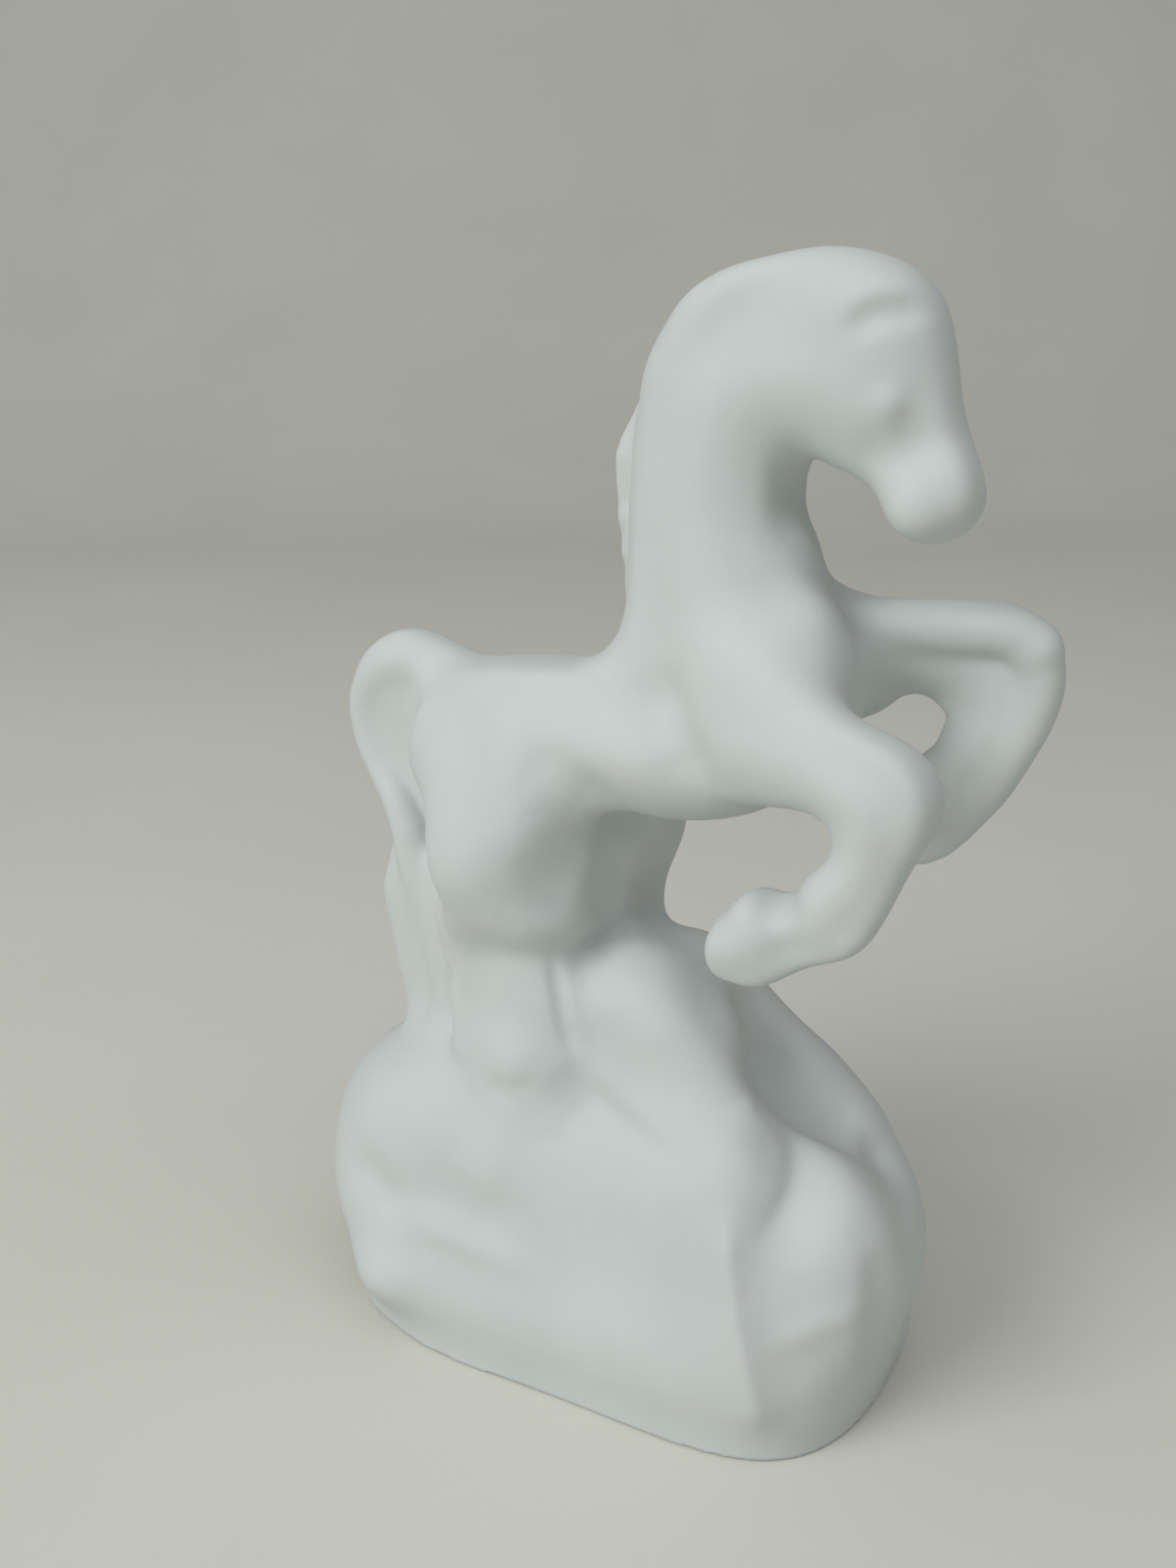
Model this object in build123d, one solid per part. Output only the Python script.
from build123d import *

import math
import os
from collections import namedtuple

# Rearing horse on a rock: a figurine in white biscuit porcelain, built as castings that are luted together.
# Frame: +X is the way the horse faces, +Y its left side, +Z up. Millimetres throughout.
# The origin lies on the flat underside of the rock, at the middle of its footprint.

# Rock: footprint, heights above the table, and the hole that lets the casting drain and breathe
ROCK_LENGTH = 69.0
ROCK_WIDTH = 42.0
LEDGE_HEIGHT = 37.0
MOUND_RISE = 20.0
VENT_BORE = 8.0
VENT_SETBACK = 14.0

# Horse: the barrel's mid line above the mound, and the throat above that line
BARREL_RISE = 26.0
NECK_RISE = 34.5
THROAT_X = 23.0
FORELEG_SPREAD = 12.8
HIND_LEG_SPREAD = 11.5
HIND_LEG_STAGGER = 5.0

# Castings: wall of the hollow ones, air ports between them, hair that stands on the neck, fill inside the tail
WALL = 3.0
PORT_BORE = 4.0
PIN_VENT_BORE = 2.0
PIN_VENT_X = 4.0
MANE_THICKNESS = 1.4
MANE_PITCH = 7.0
MANE_REACH = 8.0
MANE_OVERHANG = 2.5
MANE_START = 14.0
TAIL_WEB_THICKNESS = 4.5

MOUND_HEIGHT = LEDGE_HEIGHT + MOUND_RISE
BARREL_HEIGHT = MOUND_HEIGHT + BARREL_RISE
THROAT_HEIGHT = BARREL_HEIGHT + NECK_RISE

# One section of a limb: its two ends on the outline seen from the side, its width across, and its place on Y
Rib = namedtuple("Rib", "outer inner width side")
RIB_PITCH = 2.5


def ribs_from(x, z, rows, side=0.0):
    """Ribs whose outline points are measured from the point (x, z)."""
    found = []
    for (outer_x, outer_z), (inner_x, inner_z), width, away in rows:
        found.append(Rib((x + outer_x, z + outer_z), (x + inner_x, z + inner_z), width, side * away))
    return found


def middle(rib):
    return Vector(
        (rib.outer[0] + rib.inner[0]) / 2,
        rib.side,
        (rib.outer[1] + rib.inner[1]) / 2,
    )


def across(rib):
    """The rib's line on the outline, from its inner end to its outer end."""
    return Vector(rib.outer[0] - rib.inner[0], 0, rib.outer[1] - rib.inner[1])


def grown(rib, amount):
    """The same rib, larger all round by an amount, or smaller where that is negative."""
    step = across(rib).normalized() * amount
    outer = (rib.outer[0] + step.X, rib.outer[1] + step.Z)
    inner = (rib.inner[0] - step.X, rib.inner[1] - step.Z)
    return Rib(outer, inner, rib.width + 2 * amount, rib.side)


def rib_wire(rib):
    """An oval across the limb, drawn as two half curves that meet at the rib's ends."""
    halves = []
    for start in (0, 180):
        points = []
        for turn in (0, 45, 90, 135, 180):
            angle = math.radians(start + turn)
            along = across(rib) * (math.cos(angle) / 2)
            points.append(middle(rib) + along + Vector(0, rib.width / 2 * math.sin(angle), 0))
        leave = Vector(0, 1 if start == 0 else -1, 0)
        halves.append(Edge.make_spline(points, tangents=[leave, -leave]))
    return Wire(halves)


def rounded_end(before, last, length):
    """Ribs that close a limb with a dome of that length beyond its last rib."""
    way = (middle(last) - middle(before)).normalized() * length
    found = []
    for angle in (45, 72):
        share = math.cos(math.radians(angle))
        shift = way * math.sin(math.radians(angle))
        centre = middle(last) + shift
        half = across(last) * (share / 2)
        found.append(
            Rib(
                (centre.X + half.X, centre.Z + half.Z),
                (centre.X - half.X, centre.Z - half.Z),
                last.width * share,
                centre.Y,
            )
        )
    return found


def evened(ribs, pitch):
    """The same limb with its ribs at an even pitch, blended so that the skin over them runs smoothly."""
    rows = [(*rib.outer, *rib.inner, rib.width, rib.side) for rib in ribs]
    places = [0.0]
    for before, after in zip(ribs, ribs[1:]):
        places.append(places[-1] + (middle(after) - middle(before)).length)
    last = len(rows) - 1
    slopes = []
    for index in range(last + 1):
        low, high = max(index - 1, 0), min(index + 1, last)
        run = places[high] - places[low]
        slopes.append([(b - a) / run for a, b in zip(rows[low], rows[high])])
    count = max(4, round(places[-1] / pitch))
    found = []
    for step in range(count + 1):
        place = places[-1] * step / count
        low = max(index for index in range(last) if places[index] <= place)
        run = places[low + 1] - places[low]
        t = (place - places[low]) / run
        ease = t * t * (3 - 2 * t)
        leave, arrive = t * (1 - t) ** 2 * run, t * t * (t - 1) * run
        ends = zip(rows[low], rows[low + 1], slopes[low], slopes[low + 1])
        row = [a + (b - a) * ease + leave * sa + arrive * sb for a, b, sa, sb in ends]
        found.append(Rib((row[0], row[1]), (row[2], row[3]), row[4], row[5]))
    return found


def limb(ribs):
    return Part() + Solid.make_loft([rib_wire(rib) for rib in evened(ribs, RIB_PITCH)])


def one_piece(shape):
    """The largest solid of a cut, without the crumbs that lay inside a neighbour."""
    return max(shape.solids(), key=lambda solid: solid.volume)


# Rock

ROCK_LEVELS = [
    # height, then how far the outline stands outside the footprint at the back, front, right and left
    (0.0, 0.0, 0.0, 0.0, 0.0),
    (6.0, 5.5, 2.0, 0.2, 0.3),
    (16.0, 11.0, 4.8, -0.5, 0.0),
    (26.0, 10.5, 4.8, -2.5, -1.0),
    (LEDGE_HEIGHT - 3.0, 5.5, 1.4, -5.5, -2.5),
    (LEDGE_HEIGHT + 4.0, -6.5, -5.8, -10.5, -4.5),
    (MOUND_HEIGHT - 8.0, -14.0, -18.0, -11.2, -6.5),
    (MOUND_HEIGHT - 2.0, -18.5, -25.5, -14.0, -8.5),
    (MOUND_HEIGHT, -23.5, -30.0, -18.0, -11.5),
]
ROCK_CORNER = 0.82


def rock_outline(level, inset=0.0):
    """One contour of the rock: a closed curve through its four sides and four soft corners."""
    height, back, front, right, left = level
    low_x = -ROCK_LENGTH / 2 - back + inset
    high_x = ROCK_LENGTH / 2 + front - inset
    low_y = -ROCK_WIDTH / 2 - right + inset
    high_y = ROCK_WIDTH / 2 + left - inset
    mid_x, half_x = (low_x + high_x) / 2, (high_x - low_x) / 2
    mid_y, half_y = (low_y + high_y) / 2, (high_y - low_y) / 2
    points = []
    for step in range(8):
        reach = 1.0 if step % 2 == 0 else ROCK_CORNER * math.sqrt(2)
        turn = math.radians(45 * step)
        points.append((mid_x + half_x * reach * math.cos(turn), mid_y + half_y * reach * math.sin(turn)))
    return Plane.XY.offset(height) * make_face(Spline(*points, periodic=True))


def rock_outer():
    return loft([rock_outline(level) for level in ROCK_LEVELS])


def rock_cavity():
    """The hollow that the slip drained from, one wall inside the rock, over a floor one wall thick."""
    floor = (WALL,) + ROCK_LEVELS[0][1:]
    roof = [(level[0] - WALL,) + level[1:] for level in ROCK_LEVELS[2:-1]]
    return loft([rock_outline(level, WALL) for level in [floor] + roof])


def rock_base(outer):
    vent = Pos(-VENT_SETBACK, 0, 0) * Cylinder(VENT_BORE / 2, 4 * WALL)
    return one_piece(outer - rock_cavity() - vent)


# Barrel of the horse

BARREL = ribs_from(
    0.0,
    BARREL_HEIGHT,
    [
        ((-26.0, 6.5), (-26.0, -12.0), 19.0, 0),
        ((-17.0, 8.5), (-15.0, -10.0), 22.0, 0),
        ((-6.0, 9.5), (-4.0, -8.5), 22.5, 0),
        ((4.0, 12.0), (7.0, -9.0), 23.0, 0),
        ((13.0, 16.0), (17.0, -6.5), 22.5, 0),
        ((21.0, 19.0), (24.0, -1.0), 19.5, 0),
    ],
)
RUMP_DOME = 5.4
BREAST_DOME = 6.4


def barrel_loft(inset=0.0):
    ribs = [grown(rib, -inset) for rib in BARREL]
    rump = rounded_end(ribs[1], ribs[0], RUMP_DOME - inset)
    breast = rounded_end(ribs[-2], ribs[-1], BREAST_DOME - inset)
    return limb(rump[::-1] + ribs + breast)


# Neck and head: one run of ribs that fans round the throat, divided where the head casting is luted on

NECK = ribs_from(
    0.0,
    BARREL_HEIGHT,
    [
        ((2.0, 5.0), (25.0, 9.0), 21.0, 0),
        ((0.0, 18.5), (22.3, 22.5), 18.5, 0),
    ],
) + ribs_from(
    THROAT_X,
    THROAT_HEIGHT,
    [
        ((-23.4, -6.5), (-2.8, -6.0), 16.5, 0),
        ((-22.8, 2.4), (-2.9, -2.5), 15.8, 0),
        ((-20.5, 12.5), (-2.2, -0.6), 15.4, 0),
        ((-14.5, 18.4), (-1.2, 0.2), 15.4, 0),
    ],
)
HEAD = ribs_from(
    THROAT_X,
    THROAT_HEIGHT,
    [
        ((-6.8, 21.5), (0.0, 0.1), 15.6, 0),
        ((0.9, 22.4), (1.2, -0.3), 15.8, 0),
        ((8.2, 19.5), (2.9, -0.5), 15.4, 0),
        ((12.6, 14.7), (4.8, -1.1), 14.0, 0),
        ((14.2, 8.9), (6.4, -1.7), 12.0, 0),
        ((15.0, 3.5), (7.7, -2.9), 10.4, 0),
        ((16.4, -0.3), (8.4, -4.6), 10.6, 0),
        ((17.0, -3.0), (9.6, -6.3), 10.2, 0),
    ],
)
MUZZLE_DOME = 3.6


def neck_and_head_loft(grow=0.0):
    ribs = [grown(rib, grow) for rib in NECK + HEAD]
    return limb(ribs + rounded_end(ribs[-2], ribs[-1], MUZZLE_DOME + grow))


def throat_plane():
    """The flat joint between neck and head, facing the head."""
    rib = NECK[-1]
    return Plane(middle(rib), x_dir=across(rib), z_dir=Vector(0, 1, 0).cross(across(rib)))


# Legs and tail

RIGHT_FORELEG = ribs_from(
    0.0,
    BARREL_HEIGHT,
    [
        ((12.0, 15.0), (14.0, -4.0), 13.0, 0.45),
        ((21.5, 14.6), (21.0, -3.0), 13.0, 0.64),
        ((30.3, 10.6), (27.8, -2.0), 11.8, 0.85),
        ((38.6, 6.6), (31.2, -2.4), 10.4, 0.98),
        ((41.6, 1.4), (31.4, -3.8), 9.8, 1.0),
        ((39.6, -6.2), (30.6, -6.8), 8.8, 1.0),
        ((37.4, -12.0), (28.6, -8.6), 8.6, 1.0),
        ((34.8, -16.4), (26.0, -10.6), 8.8, 1.0),
        ((29.0, -19.4), (24.2, -11.6), 8.2, 1.0),
        ((23.4, -22.8), (21.6, -12.4), 9.4, 1.0),
        ((18.8, -22.6), (18.6, -14.8), 9.0, 1.0),
    ],
    side=-FORELEG_SPREAD,
)
LEFT_FORELEG = ribs_from(
    0.0,
    BARREL_HEIGHT,
    [
        ((12.0, 19.0), (14.0, 1.0), 12.0, 0.45),
        ((20.5, 20.6), (21.0, 4.0), 11.4, 0.60),
        ((27.3, 18.8), (27.0, 7.0), 9.8, 0.74),
        ((33.0, 18.6), (31.2, 7.8), 8.8, 0.87),
        ((38.5, 19.0), (34.5, 8.0), 8.4, 0.96),
        ((43.6, 18.2), (36.5, 7.5), 8.0, 1.0),
        ((47.2, 13.5), (37.0, 6.0), 8.0, 1.0),
        ((47.0, 7.3), (36.6, 4.6), 8.0, 1.0),
        ((44.5, 1.0), (34.8, 2.0), 8.0, 1.0),
        ((39.8, -7.0), (31.0, -1.5), 8.4, 1.0),
        ((35.6, -12.2), (27.8, -6.0), 9.0, 1.0),
        ((31.5, -14.6), (26.0, -9.6), 8.6, 1.0),
    ],
    side=FORELEG_SPREAD,
)
HOOF_DOME = 2.4
ROOT_DOME = 7.0


def foreleg_loft(ribs):
    shoulder = rounded_end(ribs[1], ribs[0], ROOT_DOME)
    return limb(shoulder[::-1] + ribs + rounded_end(ribs[-2], ribs[-1], HOOF_DOME))


def hind_leg_loft(ribs):
    hip = rounded_end(ribs[1], ribs[0], ROOT_DOME)
    return limb(hip[::-1] + ribs)


def hind_leg_ribs(side, stagger):
    thigh = ribs_from(
        stagger,
        BARREL_HEIGHT,
        [
            ((-7.0, 0.0), (-28.0, 0.0), 11.0, 0.68),
            ((-4.5, -6.0), (-28.0, -6.0), 12.5, 0.84),
            ((-4.0, -13.5), (-26.0, -14.5), 12.5, 0.96),
            ((-5.5, -20.5), (-23.5, -21.0), 11.5, 1.0),
        ],
        side=side,
    )
    shank = ribs_from(
        stagger,
        LEDGE_HEIGHT,
        [
            ((-6.8, 19.0), (-21.5, 19.5), 10.0, 1.0),
            ((-7.2, 12.0), (-19.5, 12.5), 9.5, 1.0),
            ((-7.0, 6.0), (-18.0, 6.0), 10.0, 1.04),
            ((-6.0, 1.0), (-17.0, 1.0), 11.0, 1.04),
            ((-6.5, -4.0), (-16.5, -4.0), 10.0, 1.04),
        ],
        side=side,
    )
    return thigh + shank


TAIL = ribs_from(
    0.0,
    BARREL_HEIGHT,
    [
        ((-22.0, 7.0), (-24.0, 1.0), 8.0, 0),
        ((-28.5, 9.6), (-29.0, 3.2), 8.0, 0),
        ((-35.0, 10.0), (-33.8, 4.0), 8.0, 0),
        ((-41.0, 6.0), (-37.4, 2.2), 8.0, 0),
        ((-43.4, -0.5), (-39.2, -1.5), 8.0, 0),
        ((-41.6, -8.0), (-36.8, -7.0), 8.2, 0),
        ((-38.2, -14.5), (-33.0, -13.0), 8.6, 0),
        ((-36.4, -20.5), (-31.0, -20.4), 9.0, 0),
    ],
) + ribs_from(
    0.0,
    LEDGE_HEIGHT,
    [
        ((-38.6, 19.0), (-30.6, 19.5), 9.6, 0),
        ((-37.2, 12.0), (-30.2, 12.5), 9.2, 0),
        ((-35.8, 5.5), (-29.6, 6.0), 8.4, 0),
        ((-34.2, -2.0), (-30.0, -2.0), 7.0, 0),
    ],
)


def tail_loft():
    """The tail's own line, and the thin fill between its arch and the rump."""
    arch = [((rib.outer[0] + rib.inner[0]) / 2, (rib.outer[1] + rib.inner[1]) / 2) for rib in TAIL[:8]]
    outline = Polyline(*arch, (arch[0][0], arch[-1][1]), close=True)
    web = extrude(Plane.XZ * make_face(outline), TAIL_WEB_THICKNESS / 2, both=True)
    return limb(TAIL) + web


# Mane and ears: a layer of hair over the crest and the left side of the neck, ending in rounded locks

EAR = [
    ((2.6, 18.0), (3.2, 16.0), 2.0, 1.0),
    ((5.2, 19.4), (5.8, 15.6), 2.8, 0.98),
    ((8.2, 19.0), (9.0, 15.8), 2.8, 0.92),
    ((10.6, 17.4), (11.2, 16.0), 2.0, 0.84),
]
EAR_SPREAD = 6.4


def mane_layer():
    layer = neck_and_head_loft(MANE_THICKNESS)
    crest = [middle(rib) + across(rib) * 0.5 for rib in evened(NECK[1:5], MANE_PITCH)]
    region = Part()
    for spot in crest:
        region = region + Pos(spot.X, 0, spot.Z) * Sphere(MANE_REACH)
    withers = BARREL_HEIGHT + MANE_START
    left_half = Pos(0, 100 - MANE_OVERHANG, 100 + withers) * Box(200, 200, 200)
    return layer & region & left_half


def ear(side):
    return limb(ribs_from(THROAT_X, THROAT_HEIGHT, EAR, side=side))


def neck_cavity():
    """The hollow of the neck and head castings, which runs through the joint at the throat."""
    ribs = [grown(rib, -WALL) for rib in NECK + HEAD[:5]]
    return limb(ribs)


def neck_port():
    """The air port from the hollow of the neck through the barrel's wall."""
    seat, above = middle(NECK[0]), middle(NECK[1])
    return Plane(seat, z_dir=above - seat) * Cylinder(PORT_BORE / 2, 4 * (above - seat).length)


def pin_vent():
    """The small hole under the belly that lets the closed body breathe in the kiln."""
    return Pos(PIN_VENT_X, 0, BARREL_HEIGHT - 10) * Cylinder(PIN_VENT_BORE / 2, 20)


def build():
    rock = rock_outer()
    barrel = barrel_loft()
    neck_and_head = neck_and_head_loft()
    head_side = throat_plane() * Pos(0, 0, 100) * Box(200, 200, 200)
    port = neck_port() & neck_and_head
    hind_right = hind_leg_loft(hind_leg_ribs(-HIND_LEG_SPREAD, 0.0))
    hind_left = hind_leg_loft(hind_leg_ribs(HIND_LEG_SPREAD, HIND_LEG_STAGGER))
    ears = ear(-EAR_SPREAD) + ear(EAR_SPREAD)

    pieces = {"rock_base": rock_base(rock)}
    pieces["torso"] = one_piece(barrel - barrel_loft(WALL) - port - pin_vent())
    pieces["neck"] = one_piece(neck_and_head - head_side - barrel - neck_cavity())
    pieces["head"] = one_piece((neck_and_head & head_side) + ears - neck_cavity())
    pieces["mane"] = one_piece(mane_layer() - barrel - neck_and_head - ears)
    pieces["right_foreleg"] = one_piece(foreleg_loft(RIGHT_FORELEG) - barrel - neck_and_head)
    pieces["left_foreleg"] = one_piece(foreleg_loft(LEFT_FORELEG) - barrel - neck_and_head)
    pieces["right_hind_leg"] = one_piece(hind_right - barrel - rock)
    pieces["left_hind_leg"] = one_piece(hind_left - barrel - rock)
    pieces["tail"] = one_piece(tail_loft() - barrel - hind_right - hind_left - rock)
    return pieces


os.makedirs("parts", exist_ok=True)
for name, piece in build().items():
    export_step(piece, f"parts/{name}.step")
    size = piece.bounding_box().size
    print(f"{name}: {piece.volume:.0f} mm3, {size.X:.1f} x {size.Y:.1f} x {size.Z:.1f} mm")
